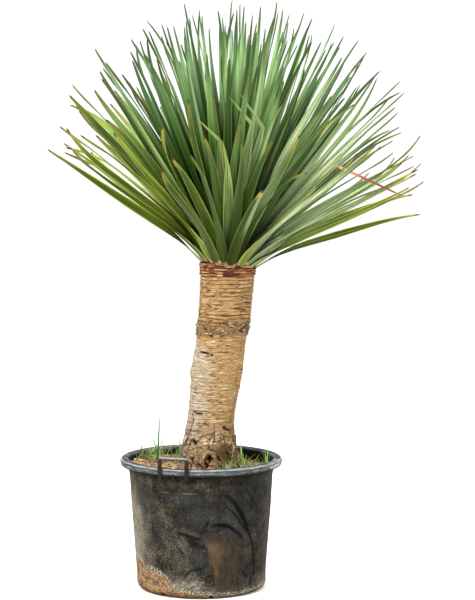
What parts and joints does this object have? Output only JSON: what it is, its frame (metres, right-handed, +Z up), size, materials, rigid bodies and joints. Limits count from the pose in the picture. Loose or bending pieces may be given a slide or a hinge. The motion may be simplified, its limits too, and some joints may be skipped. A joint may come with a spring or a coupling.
{
  "type": "potted dracaena",
  "caption": "Tall potted dracaena: a leaning ringed trunk with a round head of stiff sword leaves, in a soil-filled round plastic nursery tub with loop handles.",
  "frame": {"origin": "the middle of the tub's base, on the floor", "axes": "+Z up the plant; -Y is the front, and +X is to the right seen from the front, the way the trunk leans"},
  "size_m": [1.1659, 1.1974, 1.8064],
  "materials": {
    "plastic": "matte, dusty and weathered black",
    "soil": "rough brown potting mix of bark and clay crumbs",
    "bark": "rough tan bark with ring scars",
    "leaf": "satin green with a yellow margin and a brown tip",
    "grass": "satin yellow-green"
  },
  "bodies": {
    "root": {"pot": "plastic", "soil": "soil", "trunk": "bark", "leaf_crown": "leaf", "grass_tuft_1": "grass", "grass_tuft_2": "grass", "grass_tuft_3": "grass", "grass_tuft_4": "grass", "grass_tuft_5": "grass", "grass_tuft_6": "grass"}
  },
  "joints": []
}
